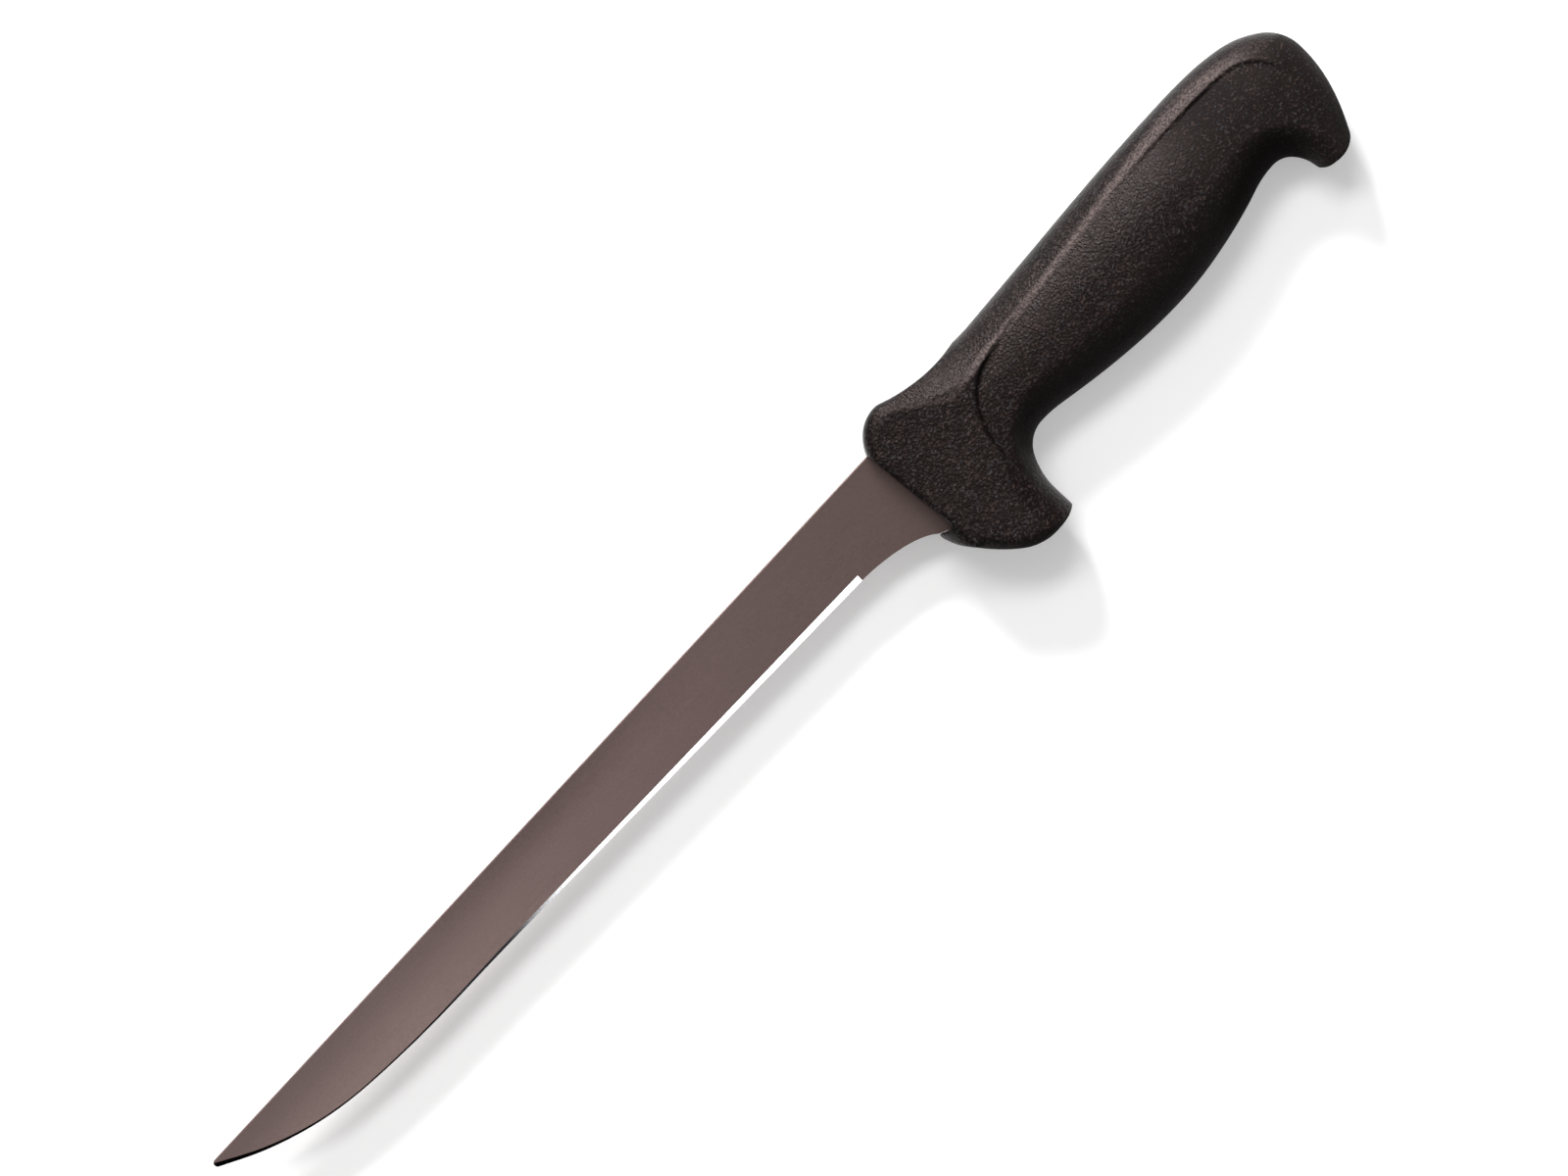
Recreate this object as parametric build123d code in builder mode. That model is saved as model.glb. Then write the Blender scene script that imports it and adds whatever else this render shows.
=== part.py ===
from build123d import *
import os
from math import atan2, cos, degrees, hypot, radians, sin, sqrt, tan

# A fillet knife lying on its side: a long ground blade with a hidden tang, and a handle
# moulded round the tang. +X runs from the tip to the butt, +Y points to the spine and +Z
# is square to the blade. The origin is under the middle of the knife's box.
# Outlines are drawn on mid_plane, the blade's middle plane. Its own origin is on the
# spine, where the blade enters the handle: x runs towards the butt, y towards the spine.

# Blade
blade_length = 203.2  # tip to handle, along the spine
belly_length = 82.6  # tip to the end of the curved edge
belly_width = 14.7  # spine to edge where the curve ends
heel_length = 20.0  # unsharpened heel in front of the handle
heel_width = 17.1  # spine to edge at the heel end of the bevel
root_width = 23.4  # spine to heel corner, inside the handle
heel_corner_width = 22.2  # spine to the point where the heel meets the handle's lip
lip_gap = 1.9  # from that point to the handle front
tip_radius = 0.9
tip_cut_drop = 3.6  # how far below the spine line the tip's rounding cut reaches
tip_angle = 28.8  # degrees between the spine and the edge at the tip
spine_root_thickness = 2.0
spine_tip_thickness = 0.8
heel_thickness = 0.7
bevel_angle = 18.5  # degrees on each side
bevel_reach = 3.0  # how far the bevel cut can reach from the edge
edge_land = 0.08  # thickness left at the very edge
spine_round = 0.25
belly_shares = ((0.50, 0.929, 0.15), (0.65, 0.837, 0.32), (0.80, 0.625, 0.66))
heel_shares = ((0.41, 0.16), (0.81, 0.57))
tip_run_share = 0.06  # straight last part of the edge, as a share of belly_length

# Tang, hidden in the handle
tang_length = 92.0
tang_thickness = 2.0
root_length = 11.0  # full-width part of the blank inside the handle
root_inset = 0.6  # the ground faces end this far inside the handle
tang_front_width = 15.0
tang_back_width = 9.0
tang_front_drop = 10.5  # spine line to the tang's centre line, front and back
tang_back_drop = 8.5
tang_corner = 2.0
lock_hole = 6.0
lock_hole_shares = (0.22, 0.52, 0.82)  # along the narrow part of the tang

# Handle, seen from the side. A lean is the direction of the outline there, in degrees
handle_length = 125.4
front_top = 0.2  # how far the front leans forward at the spine
front_low = 1.7  # and backward at its lower end
front_drop = 30.4  # spine line to that lower end
front_lean, front_low_lean = 66, -55
bump_x, bump_rise = 8.0, 5.86  # thumb bump over the blade's root
bump_back_x, bump_back_rise, bump_back_lean = 11.5, 4.81, -19
neck_x, neck_rise = 24.0, 2.64
band_front_x, band_front_rise, band_lean = 18.5, 7.1, -36.9  # the band runs out here
band_neck_x, band_neck_rise, band_neck_lean = 34.0, 3.05, 2.6
crown_setback, crown_rise = 28.4, 5.43  # highest point of the back, from the butt end
shoulder_setback, shoulder_rise, shoulder_lean = 12.4, 4.0, -12.5
butt_drop = 8.0  # where the butt reaches furthest back
butt_low_setback, butt_low_drop, butt_lean = 4.8, 25.55, -118.6
hook_back_setback, hook_back_drop, hook_back_lean = 6.0, 28.0, -130
hook_setback, hook_drop = 11.4, 30.5  # lowest point of the butt's hook
hook_tip_setback, hook_tip_drop, hook_tip_lean = 15.2, 29.4, 140
hook_front_setback, hook_front_drop, hook_front_lean = 16.35, 27.5, -84
hook_notch_setback, hook_notch_drop = 22.4, 21.1
palm_back_setback, palm_back_drop, palm_back_lean = 35.4, 23.78, 12.4
belly_share, belly_drop = 0.55, 26.35  # fullest point of the palm swell, along the handle
palm_front_x, palm_front_drop, palm_front_lean = 41.0, 23.48, -10.7
finger_notch_x, finger_notch_drop = 30.5, 21.97
guard_back_x, guard_back_drop = 21.95, 34.0
guard_tip_x, guard_tip_drop, guard_tip_lean = 21.2, 39.05, 27
guard_x, guard_drop = 15.5, 40.06  # lowest point of the finger guard

# Handle, across its thickness
guard_thickness = 18.5  # between the flat sides of the guard
palm_thickness = 19.8  # over the palm swell
edge_round = 2.6  # of the bump, the guard and the hook
front_round = 0.9  # of the front face's edges
band_width = 8.0  # width of the rounded band along the back
ridge_angle = 24.0  # degrees between the guard's flat side and the band
belly_round = 12.0  # how far the belly's rounding reaches in from its outline
belly_margin = 0.08  # height of that rounding above the palm swell
crest_share, crest_drop = 0.57, 11.0  # thickest point of the palm swell, along the handle
swell_radius = 790.0  # crowning along the handle
crown_radius = 24.0  # crowning across it, from the crest to the back
flank_radius = 110.0  # and from the crest to the belly
crown_sweep = 45.0  # degrees that those two arcs cover
flank_sweep = 20.0
trim_reach = 5.0  # how far the outer cuts reach past the outline
belly_reach = 4.2  # the same for the cut along the belly
back_lead = 16.0  # how far the cut along the back starts in front of the band
overrun = 2.4  # stock left outside the outline for those cuts

# Grip panel: its crease against the guard, the back band and the butt rim
crease_low_lean = 150
crease_guard_x, crease_guard_drop = 19.2, 25.0
crease_bend_x, crease_bend_drop, crease_bend_lean = 22.6, 10.7, 58
crease_neck_x, crease_neck_drop, crease_neck_lean = 31.0, 4.6, 14
crease_back_share, crease_back_drop, crease_back_lean = 0.5, 0.7, 4.5
crease_crown_setback, crease_crown_rise = 35.4, 0.45
crease_shoulder_setback, crease_shoulder_drop, crease_shoulder_lean = 15.4, 0.3, -8
crease_butt_setback, crease_butt_drop = 6.4, 11.0
crease_end_lean = -165

# Lip of the handle under the heel of the blade
lip_reach = 4.4  # from the lip's nose to where it has widened to the full guard
lip_nose_x, lip_nose_drop = -2.06, 23.0
lip_root_drop = 23.3
lip_shares = ((0.32, 0.22), (0.62, 0.46), (0.85, 0.73))

tip_setback = tip_radius / tan(radians(tip_angle / 2)) - tip_radius
half_thickness = max(palm_thickness, guard_thickness) / 2
quarter_turn, half_turn = 90, 180  # degrees
mid_plane = Plane(
    origin=(
        (blade_length - handle_length) / 2,
        (max(guard_drop, root_width) - bump_rise) / 2,
        half_thickness,
    )
)


def between(start, end, shares):
    return [
        (
            start[0] + (end[0] - start[0]) * along,
            start[1] + (end[1] - start[1]) * across,
        )
        for along, across in shares
    ]


def section_plane(point, heading, outward):
    origin = mid_plane.from_local_coords(Vector(*point))
    return Plane(origin=origin, x_dir=Vector(*outward), z_dir=Vector(*heading))


def direction(lean):
    return Vector(cos(radians(lean)), sin(radians(lean)))


def ahead(node, distance):
    # A node moved along its direction
    moved = Vector(node[0], node[1]) + direction(node[2]) * distance
    return (moved.X, moved.Y)


def beside(node, distance):
    # A node moved to the right of its direction
    moved = Vector(node[0], node[1]) + direction(node[2] - quarter_turn) * distance
    return (moved.X, moved.Y, node[2])


def arcs(nodes):
    # Two arcs from each node to the next, tangent to both directions and to each other
    for first, second in zip(nodes, nodes[1:]):
        start, end = Vector(first[0], first[1]), Vector(second[0], second[1])
        leave, arrive = direction(first[2]), direction(second[2])
        chord = end - start
        along = chord.dot(leave + arrive)
        turn = 2 * (1 - leave.dot(arrive))
        reach = chord.dot(chord) / (along + sqrt(along**2 + turn * chord.dot(chord)))
        joint = (start + end + (leave - arrive) * reach) / 2
        middle = (joint.X, joint.Y)
        first_arc = TangentArc(first[:2], middle, tangent=leave)
        TangentArc(middle, second[:2], tangent=first_arc % 1)


def open_line(nodes, lead, trail):
    # The arcs with a straight run before and after them
    start = ahead(nodes[0], -lead)
    Line(start, nodes[0][:2])
    arcs(nodes)
    Line(nodes[-1][:2], ahead(nodes[-1], trail))
    return start, direction(nodes[0][2])


# Cutting edge, from the heel end of the bevel to the tip
edge_heel = (-heel_length, -heel_width)
edge_belly = (belly_length - blade_length, -belly_width)
tip_run = belly_length * tip_run_share
tip_point = (-blade_length - tip_setback, 0)
tip_slope = tan(radians(tip_angle))
edge_tip = (tip_run - blade_length, -(tip_run + tip_setback) * tip_slope)
edge_run = (edge_belly[0] - edge_heel[0], edge_belly[1] - edge_heel[1])
edge_size = hypot(*edge_run)
edge_heading = (edge_run[0] / edge_size, edge_run[1] / edge_size)
edge_inward = (edge_heading[1], -edge_heading[0])
edge_lean = degrees(atan2(edge_run[1], edge_run[0]))


def cutting_edge(end):
    Line(edge_heel, edge_belly)
    curve = [
        (edge_belly[0] - belly_length * along, -belly_width * depth, half_turn - tip_angle * lean)
        for along, depth, lean in belly_shares
    ]
    arcs([(*edge_belly, edge_lean), *curve, (*edge_tip, half_turn - tip_angle)])
    Line(edge_tip, end)


with BuildPart() as bevel_cut:
    with BuildLine(mid_plane) as edge_path:
        cutting_edge((tip_point[0] - bevel_reach, tip_point[1] + bevel_reach * tip_slope))
    with BuildSketch(section_plane(edge_heel, edge_heading, edge_inward)):
        bevel_height = edge_land / 2 + bevel_reach * tan(radians(bevel_angle))
        for side in (1, -1):
            with BuildLine():
                Polyline(
                    (-bevel_reach, side * edge_land / 2),
                    (0, side * edge_land / 2),
                    (bevel_reach, side * bevel_height),
                    (-bevel_reach, side * bevel_height),
                    close=True,
                )
            make_face()
    sweep(path=edge_path.line)

with BuildPart() as blade:
    with BuildSketch(mid_plane):
        with BuildLine():
            cutting_edge(tip_point)
            heel_end = (-lip_gap, -heel_corner_width)
            heel_heading = (-edge_heading[0], -edge_heading[1])
            Spline(
                edge_heel,
                *between(edge_heel, heel_end, heel_shares),
                heel_end,
                tangents=[heel_heading, (1, -1)],
            )
            Polyline(
                heel_end,
                (root_inset, -root_width),
                (front_low + root_inset, -root_width),
                (root_inset - front_top, 0),
                tip_point,
            )
        make_face()
    extrude(amount=spine_root_thickness, both=True)
    taper_x = (spine_root_thickness - spine_tip_thickness) / 2 / blade_length
    taper_y = (spine_root_thickness - heel_thickness) / 2 / root_width
    for side in (1, -1):
        face_point = Vector(0, 0, side * spine_root_thickness / 2)
        face_normal = Vector(-taper_x, -taper_y, side)
        ground_face = Plane(mid_plane.from_local_coords(face_point), z_dir=face_normal)
        split(bisect_by=ground_face, keep=Keep.BOTTOM)
    fillet(blade.edges().sort_by(SortBy.LENGTH)[-2:], radius=spine_round)
    with BuildSketch(mid_plane):
        with BuildLine():
            tip_center = (-blade_length + tip_radius, -tip_radius)
            tip_arc = CenterArc(tip_center, tip_radius, quarter_turn, half_turn - tip_angle)
            outer_x = tip_point[0] - tip_radius
            Polyline(
                tip_arc @ 1,
                (outer_x, -tip_cut_drop),
                (outer_x, tip_radius),
                (tip_center[0], tip_radius),
                tip_arc @ 0,
            )
        make_face()
    extrude(amount=spine_root_thickness, both=True, mode=Mode.SUBTRACT)
    add(bevel_cut.part, mode=Mode.SUBTRACT)
    with BuildSketch(mid_plane) as tang_sketch:
        with BuildLine():
            Polyline(
                (root_inset - front_top, 0),
                (root_length, 0),
                (root_length, tang_front_width / 2 - tang_front_drop),
                (tang_length, tang_back_width / 2 - tang_back_drop),
                (tang_length, -tang_back_width / 2 - tang_back_drop),
                (root_length, -tang_front_width / 2 - tang_front_drop),
                (root_length, -root_width),
                (front_low + root_inset, -root_width),
                close=True,
            )
        make_face()
        fillet(tang_sketch.vertices().sort_by(Axis.X)[-2:], radius=tang_corner)
        for share in lock_hole_shares:
            hole_x = root_length + (tang_length - root_length) * share
            hole_drop = tang_front_drop + (tang_back_drop - tang_front_drop) * share
            with Locations((hole_x, -hole_drop)):
                Circle(lock_hole / 2, mode=Mode.SUBTRACT)
    extrude(amount=tang_thickness / 2, both=True)
blade.part.label = "blade"

# Key points of the handle outline, each with the direction of the outline there
front_point = (-front_top, 0, front_lean)
front_end = (front_low, -front_drop, front_low_lean)
bump = (bump_x, bump_rise, 0)
bump_back = (bump_back_x, bump_back_rise, bump_back_lean)
neck = (neck_x, neck_rise, 0)
band_front = (band_front_x, band_front_rise, band_lean)
band_neck = (band_neck_x, band_neck_rise, band_neck_lean)
crown = (handle_length - crown_setback, crown_rise, 0)
shoulder = (handle_length - shoulder_setback, shoulder_rise, shoulder_lean)
butt = (handle_length, -butt_drop, -quarter_turn)
butt_low = (handle_length - butt_low_setback, -butt_low_drop, butt_lean)
hook_back = (handle_length - hook_back_setback, -hook_back_drop, hook_back_lean)
hook = (handle_length - hook_setback, -hook_drop, half_turn)
hook_tip = (handle_length - hook_tip_setback, -hook_tip_drop, hook_tip_lean)
hook_front = (handle_length - hook_front_setback, -hook_front_drop, hook_front_lean)
hook_notch = (handle_length - hook_notch_setback, -hook_notch_drop, 0)
palm_back = (handle_length - palm_back_setback, -palm_back_drop, palm_back_lean)
belly = (handle_length * belly_share, -belly_drop, 0)
palm_front = (palm_front_x, -palm_front_drop, palm_front_lean)
finger_notch = (finger_notch_x, -finger_notch_drop, 0)
guard_back = (guard_back_x, -guard_back_drop, quarter_turn)
guard_tip = (guard_tip_x, -guard_tip_drop, guard_tip_lean)
guard = (guard_x, -guard_drop, 0)
right, left, up, down = (1, 0), (-1, 0), (0, 1), (0, -1)
half_guard = guard_thickness / 2
crest_x = handle_length * crest_share
crease_back_x = handle_length * crease_back_share
crease_shoulder_x = handle_length - crease_shoulder_setback
trim_height = half_thickness + overrun


def back_line():
    nodes = [band_front, band_neck, crown, shoulder, butt, butt_low]
    return open_line(nodes, back_lead, 2 * trim_reach)


def bump_line():
    rise = (band_neck_x, neck_rise + trim_reach / 2, -band_lean)
    return open_line([front_point, bump, bump_back, neck, rise], trim_reach, neck_x)


def guard_line():
    return open_line([front_end, guard, guard_tip], trim_reach, trim_reach)


def hook_line():
    return open_line([hook_back, hook, hook_tip], 2 * trim_reach, trim_reach)


def grip_nodes(out):
    nodes = [guard_back, finger_notch, palm_front, belly, palm_back, hook_notch, hook_front]
    return [beside(node, out) for node in nodes]


def belly_line():
    return open_line(grip_nodes(0), guard_drop - guard_back_drop + trim_reach, 2 * trim_reach)


def close_section(edge, height, reach):
    Polyline(
        (edge, height),
        (edge, trim_height),
        (reach, trim_height),
        (reach, -trim_height),
        (edge, -trim_height),
        (edge, -height),
    )


def band_section():
    arcs(
        [
            (-band_width, -half_guard, ridge_angle),
            (0, 0, quarter_turn),
            (-band_width, half_guard, half_turn - ridge_angle),
        ]
    )
    close_section(-band_width, half_guard, trim_reach)


def belly_section():
    height = half_thickness + belly_margin
    start_angle = -quarter_turn
    EllipticalCenterArc(
        (-belly_round, 0), belly_round, height, start_angle, arc_size=half_turn
    )
    close_section(-belly_round, height, belly_reach)


def edge_section():
    flat = half_guard - edge_round
    upper = JernArc((0, flat), up, edge_round, quarter_turn)
    lower = JernArc((0, -flat), down, edge_round, -quarter_turn)
    Line(lower @ 0, upper @ 0)
    close_section(-edge_round, half_guard, trim_reach)


def trim_along(trace, section, outside):
    # What lies outside an outline; outside is 1 or -1, on the left or right of its run
    with BuildPart() as trim:
        with BuildLine(mid_plane) as path:
            start, heading = trace()
        outward = Vector(-outside * heading.Y, outside * heading.X)
        with BuildSketch(section_plane(start, heading, outward)):
            with BuildLine():
                section()
            make_face()
        sweep(path=path.line)
    return trim.part


back_trim = trim_along(back_line, band_section, 1)
bump_trim = trim_along(bump_line, edge_section, 1)
guard_trim = trim_along(guard_line, edge_section, -1)
hook_trim = trim_along(hook_line, edge_section, 1)
belly_trim = trim_along(belly_line, belly_section, -1)


def panel_outline():
    grip = grip_nodes(overrun)
    start, end = grip[0], grip[-1]
    low = (start[0], overrun - guard_drop, crease_low_lean)
    Line((low[0], low[1]), (start[0], start[1]))
    arcs(grip)
    arcs(
        [
            low,
            (crease_guard_x, -crease_guard_drop, quarter_turn),
            (crease_bend_x, -crease_bend_drop, crease_bend_lean),
            (crease_neck_x, -crease_neck_drop, crease_neck_lean),
            (crease_back_x, -crease_back_drop, crease_back_lean),
            (handle_length - crease_crown_setback, crease_crown_rise, 0),
            (crease_shoulder_x, -crease_shoulder_drop, crease_shoulder_lean),
            (handle_length - crease_butt_setback, -crease_butt_drop, -quarter_turn),
            (end[0], end[1], crease_end_lean),
        ]
    )


# Grip panel: crowned along and across, and slightly below the guard, the band and the rim
with BuildPart() as panel:
    with BuildSketch(mid_plane):
        with BuildLine():
            panel_outline()
        make_face()
    extrude(amount=trim_height, both=True)
    half_palm = palm_thickness / 2
    for side in (1, -1):
        crest = (0, side * half_palm)
        with BuildSketch(section_plane((crest_x, -crest_drop), right, up)):
            with BuildLine():
                crown_arc = JernArc(crest, right, crown_radius, -side * crown_sweep)
                flank_arc = JernArc(crest, left, flank_radius, side * flank_sweep)
                Polyline(
                    crown_arc @ 1,
                    ((crown_arc @ 1).X, -side * trim_height),
                    ((flank_arc @ 1).X, -side * trim_height),
                    flank_arc @ 1,
                )
            make_face()
        swell_center = Vector(crest_x, 0, side * (half_palm - swell_radius))
        swell_axis = Axis(mid_plane.from_local_coords(swell_center), (0, 1, 0))
        revolve(axis=swell_axis, mode=Mode.INTERSECT)

# Lip that closes round the heel of the blade
with BuildPart() as lip:
    lip_back = lip_nose_x + lip_reach
    with BuildSketch(mid_plane):
        with BuildLine():
            lip_nose = (lip_nose_x, -lip_nose_drop)
            low_end = (front_low, -front_drop)
            Spline(low_end, *between(low_end, lip_nose, lip_shares), lip_nose)
            Polyline(
                lip_nose,
                heel_end,
                (0, -lip_root_drop),
                (lip_back, -lip_root_drop),
                (lip_back, -front_drop),
                low_end,
            )
        make_face()
    extrude(amount=half_guard, both=True)
    with BuildSketch(section_plane((lip_back, 0), down, right)):
        Ellipse(lip_reach, half_guard)
    extrude(amount=guard_drop, mode=Mode.INTERSECT)

# The handle starts as a slab with straight sides, a little larger than its outline
front_slope = (front_top + front_low) / front_drop
front_high = (-front_top - front_slope * overrun, overrun)
front_deep = (front_low + front_slope * overrun, -front_drop - overrun)
with BuildPart() as handle:
    with BuildSketch(mid_plane):
        with BuildLine():
            Polyline(
                front_high,
                (bump_x - overrun, bump_rise + overrun),
                (neck_x, neck_rise + overrun),
                (crown[0], crown_rise + overrun),
                (hook[0], crown_rise + overrun),
                (handle_length + overrun, 0),
                (handle_length + overrun, -hook_notch_drop),
                (hook_back[0], -hook_drop - overrun),
                (hook_front[0] - overrun, -hook_drop - overrun),
                (hook_front[0] - overrun / 2, -hook_front_drop),
                (hook_notch[0], -crest_drop),
                (finger_notch_x, -crest_drop),
                (guard_back_x + overrun / 2, -guard_back_drop),
                (guard_back_x + overrun / 2, -guard_drop - overrun),
                (guard_x / 2, -guard_drop - overrun),
                front_deep,
                close=True,
            )
        make_face()
    extrude(amount=half_guard, both=True)
    front_edges = handle.faces().sort_by(Axis.X)[0].edges().group_by(Axis.Z)
    fillet(front_edges[0] + front_edges[-1], radius=front_round)
    for trim in (bump_trim, guard_trim, hook_trim):
        add(trim, mode=Mode.SUBTRACT)
    with BuildSketch(mid_plane):
        with BuildLine():
            panel_outline()
        make_face()
    extrude(amount=trim_height, both=True, mode=Mode.SUBTRACT)
    add(panel.part)
    for trim in (back_trim, belly_trim):
        add(trim, mode=Mode.SUBTRACT)
    add(lip.part)
    add(blade.part, mode=Mode.SUBTRACT)
handle.part.label = "handle"

os.makedirs("parts", exist_ok=True)
for piece in (blade, handle):
    export_step(piece.part, f"parts/{piece.part.label}.step")
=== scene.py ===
import math

import bpy
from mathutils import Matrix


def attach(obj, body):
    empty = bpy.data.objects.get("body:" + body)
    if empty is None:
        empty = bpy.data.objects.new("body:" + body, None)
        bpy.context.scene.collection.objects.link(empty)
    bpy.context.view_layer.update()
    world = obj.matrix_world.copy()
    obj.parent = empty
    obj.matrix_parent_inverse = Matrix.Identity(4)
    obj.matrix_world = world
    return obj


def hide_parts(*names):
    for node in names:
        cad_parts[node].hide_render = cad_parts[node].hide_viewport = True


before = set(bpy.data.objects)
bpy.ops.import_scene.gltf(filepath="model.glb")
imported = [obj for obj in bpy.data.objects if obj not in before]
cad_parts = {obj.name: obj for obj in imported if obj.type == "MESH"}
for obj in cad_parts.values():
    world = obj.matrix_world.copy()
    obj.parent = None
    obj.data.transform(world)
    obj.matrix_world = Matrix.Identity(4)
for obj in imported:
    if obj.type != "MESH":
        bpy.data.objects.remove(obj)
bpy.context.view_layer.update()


# shader helpers
class Socket:
    # wraps a node's output so that shader maths reads as plain maths
    def __init__(self, tree, out):
        self.tree, self.out = tree, out

    def math(self, kind, *values):
        return self.tree.add("ShaderNodeMath", {"operation": kind}, dict(enumerate(values)))

    def __add__(self, other):
        return self.math("ADD", self, other)

    def __sub__(self, other):
        return self.math("SUBTRACT", self, other)

    def __rsub__(self, other):
        return self.math("SUBTRACT", other, self)

    def __mul__(self, other):
        return self.math("MULTIPLY", self, other)

    def __truediv__(self, other):
        return self.math("DIVIDE", self, other)

    def __rtruediv__(self, other):
        return self.math("DIVIDE", other, self)

    def __abs__(self):
        return self.math("ABSOLUTE", self)

    __radd__ = __add__
    __rmul__ = __mul__


class Shader:
    # a new material's node tree, or the sky's
    def __init__(self, name, sky=None):
        self.owner = sky or bpy.data.materials.new(name)
        self.owner.use_nodes = True
        self.nodes = self.owner.node_tree.nodes
        self.links = self.owner.node_tree.links
        self.nodes.clear()

    def add(self, kind, settings=None, inputs=None, output=0):
        node = self.nodes.new(kind)
        for key, value in (settings or {}).items():
            if key == "stops":
                ramp = node.color_ramp
                while len(ramp.elements) < len(value):
                    ramp.elements.new(0.5)
                for element, (place, colour) in zip(ramp.elements, value):
                    element.position, element.color = place, colour
            else:
                setattr(node, key, value)
        for key, value in (inputs or {}).items():
            if isinstance(value, Socket):
                self.links.new(value.out, node.inputs[key])
            else:
                node.inputs[key].default_value = value
        return Socket(self, node.outputs[output]) if node.outputs else None

    def place(self, centre=(0, 0, 0), scale=(1, 1, 1)):
        # object coordinates from a centre, stretched
        coords = self.add("ShaderNodeTexCoord", output="Object")
        return self.add("ShaderNodeMapping", {"vector_type": "TEXTURE"},
                        {"Vector": coords, "Location": centre, "Scale": scale})

    def xyz(self, vector):
        split = self.add("ShaderNodeSeparateXYZ", None, {"Vector": vector})
        node = split.out.node
        return [Socket(self, node.outputs[i]) for i in range(3)]

    def normal(self):
        return self.xyz(self.add("ShaderNodeTexCoord", output="Normal"))

    def noise(self, vector, scale, detail=2.0, rough=0.5):
        return self.add("ShaderNodeTexNoise", {"noise_dimensions": "3D"},
                        {"Vector": vector, "Scale": scale, "Detail": detail, "Roughness": rough})

    def step(self, value, low, high):
        # 0 below low, 1 above high, smooth between
        return self.add("ShaderNodeMapRange", {"interpolation_type": "SMOOTHSTEP"},
                        {"Value": value, "From Min": low, "From Max": high})

    def blend(self, factor, first, second, kind="MIX"):
        return self.add("ShaderNodeMix", {"data_type": "RGBA", "blend_type": kind},
                        {0: factor, 6: first, 7: second}, output=2)

    def finish(self, surface):
        self.add("ShaderNodeOutputMaterial", None, {"Surface": surface})
        return self.owner


def colour(red, green, blue):
    # screen colour 0..255 to linear
    def linear(v):
        v /= 255
        return v / 12.92 if v <= 0.04045 else ((v + 0.055) / 1.055) ** 2.4
    return (linear(red), linear(green), linear(blue), 1)


def nothingSelected():
    if bpy.context.object and bpy.context.object.mode != "OBJECT":
        bpy.ops.object.mode_set(mode="OBJECT")
    bpy.ops.object.select_all(action="DESELECT")


def select(piece):
    nothingSelected()
    piece.select_set(True)
    bpy.context.view_layer.objects.active = piece


def wear(piece, material):
    piece.data.materials.clear()
    piece.data.materials.append(material)


# where the knife's main lines lie, in metres
knife = {
    "spineY": 0.0171,  # spine of the blade
    "frontX": 0.0389,  # where the blade enters the handle
    "midZ": 0.0099,  # middle of the blade's thickness
    "tipX": -0.1643,
    "frontLean": 0.0625,  # how far the handle's front leans back for each metre across the blade
}


# camera straight above the knife, which lies across the picture
view = {
    "turn": -47.17,  # degrees
    "centre": (0.0065, 0.0110),
    "width": 0.3304,  # metres across the picture at the blade's middle plane
    "lens": 200.0,
    "sensor": 36.0,
    "near": 0.05,
    "far": 20,
}
camera = bpy.data.cameras.new("camera")
camera.lens = view["lens"]
camera.sensor_width = view["sensor"]
cameraObject = bpy.data.objects.new("camera", camera)
bpy.context.scene.collection.objects.link(cameraObject)
distance = view["width"] * view["lens"] / view["sensor"]
cameraObject.location = (*view["centre"], knife["midZ"] + distance)
cameraObject.rotation_euler = (0, 0, math.radians(view["turn"]))
camera.clip_start, camera.clip_end = view["near"], view["far"]
bpy.context.scene.camera = cameraObject
print("camera set")


# handle: one moulding, its creases softened as a mould leaves them
handleSizes = {
    "grid": 0.0004,  # surface grid of the moulding
    "softening": 5,  # smoothing passes over its creases
    "softness": 0.5,
    "merge": 1e-6,  # corners of the CAD mesh closer than this are one
}


def solidCopy(node, name):
    # the CAD node's shape as a new merged mesh
    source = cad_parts[node]
    piece = bpy.data.objects.new(name, source.data.copy())
    bpy.context.scene.collection.objects.link(piece)
    select(piece)
    bpy.ops.object.mode_set(mode="EDIT")
    bpy.ops.mesh.select_all(action="SELECT")
    bpy.ops.mesh.remove_doubles(threshold=handleSizes["merge"])
    bpy.ops.object.mode_set(mode="OBJECT")
    return piece


handleBody = solidCopy("handle", "handleBody")
tang = solidCopy("blade", "tang")
bpy.ops.object.mode_set(mode="EDIT")
bpy.ops.mesh.select_all(action="SELECT")
bpy.ops.mesh.bisect(plane_co=(knife["frontX"], knife["spineY"], knife["midZ"]),
                    plane_no=(1, knife["frontLean"], 0), use_fill=True, clear_inner=True)
bpy.ops.object.mode_set(mode="OBJECT")
nothingSelected()
tang.select_set(True)
handleBody.select_set(True)
bpy.context.view_layer.objects.active = handleBody
bpy.ops.object.join()  # the plastic is moulded round the tang, so the two fill one space
remesh = handleBody.modifiers.new("grid", "REMESH")
remesh.mode = "VOXEL"
remesh.voxel_size = handleSizes["grid"]
bpy.ops.object.modifier_apply(modifier="grid")
smooth = handleBody.modifiers.new("softening", "SMOOTH")
smooth.factor = handleSizes["softness"]
smooth.iterations = handleSizes["softening"]
bpy.ops.object.modifier_apply(modifier="softening")
bpy.ops.object.shade_smooth()
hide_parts("handle")
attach(handleBody, "root")
print("handle moulded,", len(handleBody.data.polygons), "faces")


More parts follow.
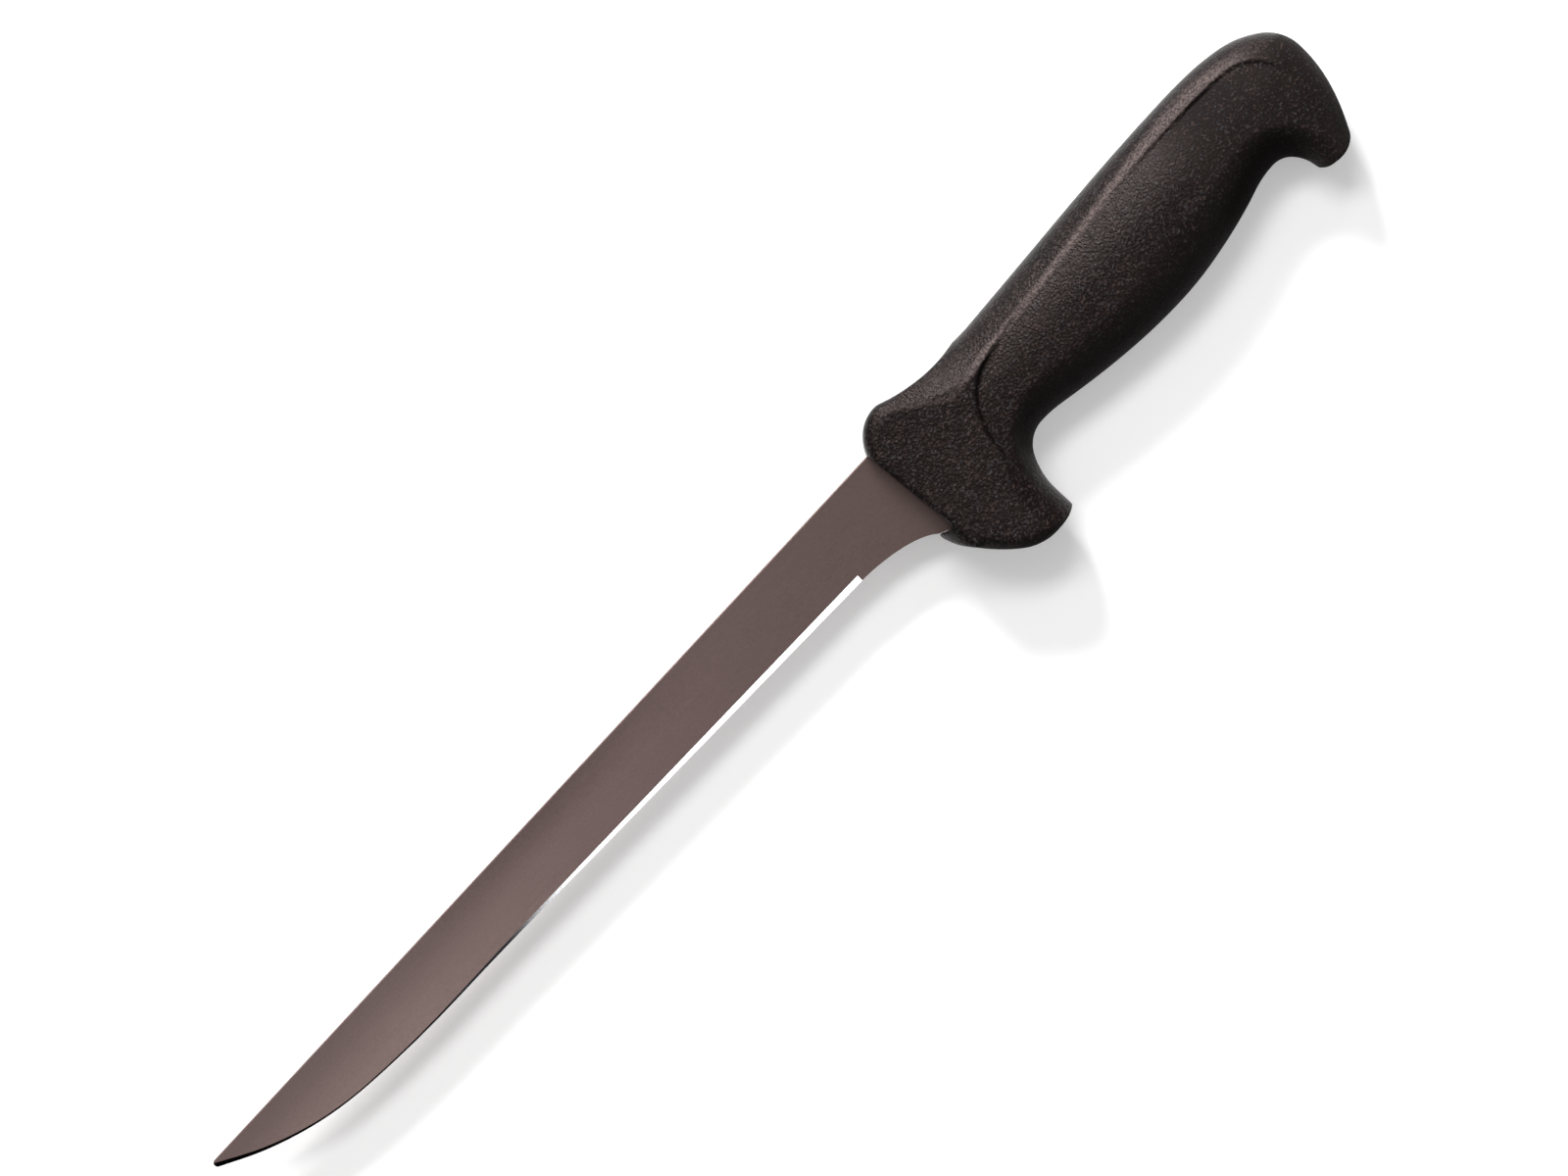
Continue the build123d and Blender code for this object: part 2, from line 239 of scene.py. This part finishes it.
# handle plastic: near-black, warm, with a fine sparkling grain
plastic = {
    "colour": colour(19, 14, 13),
    "dark": colour(12, 9, 9),
    "clouds": 70.0,  # patches of these two, per metre
    "cloudEdge": (0.3, 0.7),
    "paintedShade": colour(5, 4, 4),  # painted shade on faces that turn towards the edge side
    "shadedFrom": (0.1, 0.75),  # how far they turn
    "warmGrain": colour(96, 80, 75),  # single grains that catch the light
    "coolGrain": colour(80, 80, 86),
    "tints": 600.0,  # patches of warm and of cool grains, per metre
    "tintEdge": (0.4, 0.6),
    "grain": 1800.0,  # grains per metre
    "grainEdge": (0.52, 0.7),
    "clump": 4,  # grains across a clump
    "clumpEdge": (0.35, 0.65),
    "loneGrains": 0.5,  # how bright grains outside a clump are
    "grainShare": 0.4,
    "grainDepth": 0.0003,
    "fineShare": 0.75,  # of that depth, the rest is clumps
    "roughness": 0.31,
    "grainRoughness": 0.3,
    "mattRoughness": 0.35,  # more of it on the grip panel towards the butt
    "mattFrom": (0.08, 0.1),
    "mattEdge": (-0.003, -0.0012),  # from the rim of the band
    "shadedRoughness": 0.5,  # and on the faces that turn towards the edge side
    "specular": 0.15,
    "sheen": (1.0, 0.82, 0.78, 1),  # warm tint of the sheen
}

# raised rim of the band, with a painted highlight along it: its line runs from the guard along the
# crease to the butt
rimHighlight = {
    "colour": colour(90, 79, 77),
    "frontY": 0.0032,  # where the line starts, from the spine
    "runs": [  # from, to, and how far the line rises there, along the handle from its front
        (0.008, 0.022, -0.008),
        (0.022, 0.034, 0.0015),
        (0.028, 0.102, 0.0054),
        (0.1, 0.122, -0.003),
    ],
    "width": 0.0012,
    "backWidth": 0.0024,
    "widening": (0.06, 0.1),
    "starts": (0.004, 0.012),
    "ends": (0.106, 0.122),
    "guardShare": 0.4,  # the painted highlight is fainter on the guard
    "guardEnds": (0.024, 0.036),
    "dullGrains": 0.3,  # how bright its dullest grains are
    "grainEdge": (0.4, 0.6),
}


def bandRimHighlight(s, x, y):
    # how far from the rim's line, and how strong the painted highlight is there
    line = rimHighlight["frontY"]
    for start, end, rise in rimHighlight["runs"]:
        line = line + s.step(x, start, end) * rise
    off = y - line
    width = rimHighlight["width"] + s.step(x, *rimHighlight["widening"]) * (rimHighlight["backWidth"] - rimHighlight["width"])
    glint = 1 - s.step(abs(off) / width, 0, 1)
    glint = glint * (rimHighlight["guardShare"] + s.step(x, *rimHighlight["guardEnds"]) * (1 - rimHighlight["guardShare"]))
    return off, glint * s.step(x, *rimHighlight["starts"]) * (1 - s.step(x, *rimHighlight["ends"]))


def handlePlastic():
    s = Shader("handlePlastic")
    where = s.place(centre=(knife["frontX"], knife["spineY"], knife["midZ"]))
    fine = s.noise(where, plastic["grain"], detail=2, rough=0.55)
    coarse = s.noise(where, plastic["grain"] / plastic["clump"], detail=2)
    cloud = s.noise(where, plastic["clouds"], detail=3)
    tint = s.noise(where, plastic["tints"], detail=1)
    clumps = plastic["loneGrains"] + s.step(coarse, *plastic["clumpEdge"]) * (1 - plastic["loneGrains"])
    grains = s.step(fine, *plastic["grainEdge"]) * clumps
    tone = s.blend(s.step(cloud, *plastic["cloudEdge"]), plastic["dark"], plastic["colour"])
    bright = s.blend(s.step(tint, *plastic["tintEdge"]), plastic["coolGrain"], plastic["warmGrain"])
    tone = s.blend(grains * plastic["grainShare"], tone, bright)
    x, y = s.xyz(where)[:2]
    off, glint = bandRimHighlight(s, x, y)
    turned = s.step(s.normal()[1] * -1, *plastic["shadedFrom"])
    # painted shade: faces turned towards the edge side get a near-black base colour
    tone = s.blend(turned, tone, plastic["paintedShade"])
    sparkle = rimHighlight["dullGrains"] + s.step(fine, *rimHighlight["grainEdge"]) * (1 - rimHighlight["dullGrains"])
    # painted highlight along the band's rim, in place of the sheen on the ridge
    tone = s.blend(glint * sparkle, tone, rimHighlight["colour"])
    matt = s.step(x, *plastic["mattFrom"]) * (1 - s.step(off, *plastic["mattEdge"]))
    rough = plastic["roughness"] + (fine - 0.5) * plastic["grainRoughness"]
    rough = rough + matt * plastic["mattRoughness"] + turned * plastic["shadedRoughness"]
    height = fine * plastic["fineShare"] + coarse * (1 - plastic["fineShare"])
    bump = s.add("ShaderNodeBump", None,
                 {"Strength": 1.0, "Distance": plastic["grainDepth"], "Height": height})
    surface = s.add("ShaderNodeBsdfPrincipled", None,
                    {"Base Color": tone, "Roughness": rough, "Normal": bump,
                     "Specular IOR Level": plastic["specular"],
                     "Specular Tint": plastic["sheen"]})
    return s.finish(surface)


wear(handleBody, handlePlastic())


# blade steel: satin, warm grey, with a bright bevel along the edge
steel = {
    "tones": [  # along the blade, 0 at the tip and 1 at the handle
        (0.25, colour(168, 145, 140)),
        (0.5, colour(145, 123, 120)),
        (0.75, colour(127, 108, 105)),
        (1.0, colour(114, 97, 93)),
    ],
    "spineShade": (0.66, 0.66, 0.67, 1),  # painted shade: how much darker it gets at the spine
    "shadeWidth": 0.0085,  # from the spine, behind the belly
    "tipShadeWidth": 0.013,  # and at the tip
    "shadeNarrows": (0.25, 0.5),
    "shadeEnds": (0.45, 0.8),
    "grindLines": (0.008, 0.0004, 0.0004),  # length and widths of a grinding line
    "flecks": 2400.0,  # per metre
    "fleckShare": 0.75,  # of the mottle, the rest is grinding lines
    "mottle": 0.15,
    # bright bevel: polished steel, its base colour raised to near white as a painted highlight
    "bevel": colour(246, 247, 250),
    "bellyBevel": colour(34, 34, 37),  # painted shade: the bevel round the belly, dark where it turns away from the light
    "bevelHighlightFrom": (0.37, 0.54),
    "bevelTurn": (0.14, 0.22),  # how far the bevel turns towards the edge
    "bevelUp": (0.6, 0.8),  # and it still faces up or down
    "roughness": 0.36,
    "fleckRoughness": 0.1,
    "grindRoughness": 0.06,
    "bevelRoughness": 0.14,
    "grindHeight": 0.4,  # beside the flecks' 1
    "bumpDepth": 0.00002,
    "bumpStrength": 0.25,
}


def bladeSteel():
    s = Shader("bladeSteel")
    where = s.place(centre=(knife["tipX"], knife["spineY"], knife["midZ"]))
    x, y = s.xyz(where)[:2]
    along = x / (knife["frontX"] - knife["tipX"])
    tone = s.add("ShaderNodeValToRGB", {"stops": steel["tones"]}, {"Fac": along})
    depth = y * -1
    narrow = 1 - s.step(depth, 0, steel["shadeWidth"])
    wide = 1 - s.step(depth, 0, steel["tipShadeWidth"])
    nearSpine = wide + (narrow - wide) * s.step(along, *steel["shadeNarrows"])
    nearSpine = nearSpine * (1 - s.step(along, *steel["shadeEnds"]))
    # painted shade, darker towards the spine
    tone = s.blend(nearSpine, tone, steel["spineShade"], "MULTIPLY")
    grind = s.noise(s.place(scale=steel["grindLines"]), 1.0, detail=3, rough=0.6)
    fleck = s.noise(where, steel["flecks"], detail=2)
    mottle = fleck * steel["fleckShare"] + grind * (1 - steel["fleckShare"])
    grey = s.add("ShaderNodeCombineColor", None, {"Red": mottle, "Green": mottle, "Blue": mottle})
    tone = s.blend(steel["mottle"], tone, grey, "OVERLAY")
    across, up = s.normal()[1:]
    bevel = s.step(across * -1, *steel["bevelTurn"]) * s.step(abs(up), *steel["bevelUp"])
    # painted highlight on the bevel's straight run, painted shade on it round the belly
    bevelHighlight = s.step(along, *steel["bevelHighlightFrom"])
    tone = s.blend(bevel, tone, s.blend(bevelHighlight, steel["bellyBevel"], steel["bevel"]))
    rough = steel["roughness"] + (fleck - 0.5) * steel["fleckRoughness"]
    rough = rough + (grind - 0.5) * steel["grindRoughness"]
    rough = rough + bevel * (steel["bevelRoughness"] - steel["roughness"])
    bump = s.add("ShaderNodeBump", None,
                 {"Strength": steel["bumpStrength"], "Distance": steel["bumpDepth"],
                  "Height": fleck + grind * steel["grindHeight"]})
    surface = s.add("ShaderNodeBsdfPrincipled", None,
                    {"Base Color": tone, "Metallic": 1.0, "Roughness": rough, "Normal": bump})
    return s.finish(surface)


wear(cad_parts["blade"], bladeSteel())
print("materials on")


# floor, and soft studio light from above and from the spine side
studio = {
    "floorSize": 12.0,
    "floor": (0.78, 0.78, 0.78, 1),
    "floorLift": 0.35,  # its own glow, which keeps the shadow light
    "skyLow": 0.03,  # sky over the edge side and along the horizon
    "skyHigh": 0.42,  # sky overhead
    "skyTilt": 0.5,  # how much it leans to the spine side
    "skyEdge": (0.4, 0.95),
    "lamps": [  # name, place, size, watts, aim
        ("keyLight", (0.5, 1.2, 0.82), (0.4, 0.3), 28, (0, 0, 0)),
        ("fillLight", (0.25, 0.60, 1.15), (0.7, 0.3), 8, (0, 0, 0)),
        ("bevelLight", (0.54, -0.80, 1.08), (1.46, 0.16), 2.2, (0.54, 0, 0)),  # a strip for the bevel
    ],
}


def floorPaint():
    s = Shader("floorPaint")
    white = s.add("ShaderNodeBsdfDiffuse", None, {"Color": studio["floor"]})
    lift = s.add("ShaderNodeEmission", None,
                 {"Color": (1, 1, 1, 1), "Strength": studio["floorLift"]})
    return s.finish(s.add("ShaderNodeAddShader", None, {0: white, 1: lift}))


nothingSelected()
bpy.ops.mesh.primitive_plane_add(size=studio["floorSize"], location=(0, 0, 0))
floor = bpy.context.object
floor.name = "studioFloor"
wear(floor, floorPaint())


def softbox(name, place, size, power, aim):
    # a rectangular lamp, its long side along the knife
    lamp = bpy.data.lights.new(name, "AREA")
    lamp.shape = "RECTANGLE"
    lamp.size, lamp.size_y = size
    lamp.energy = power
    box = bpy.data.objects.new(name, lamp)
    bpy.context.scene.collection.objects.link(box)
    box.location = place
    east, north, down = (a - b for a, b in zip(aim, place))
    box.rotation_euler = (math.atan2(math.hypot(east, north), -down), 0,
                          math.atan2(north, east) - math.pi / 2)


for lampValues in studio["lamps"]:
    softbox(*lampValues)

sky = Shader("sky", bpy.data.worlds.new("studioSky"))
bpy.context.scene.world = sky.owner
skyY, skyZ = sky.xyz(sky.add("ShaderNodeTexCoord", output="Generated"))[1:]
bright = sky.step(skyZ + skyY * studio["skyTilt"], *studio["skyEdge"])
background = sky.add("ShaderNodeBackground", None, {
    "Color": (1, 1, 1, 1),
    "Strength": studio["skyLow"] + bright * (studio["skyHigh"] - studio["skyLow"])})
sky.add("ShaderNodeOutputWorld", None, {"Surface": background})
bpy.context.scene.view_settings.view_transform = "Standard"
print("studio lit")
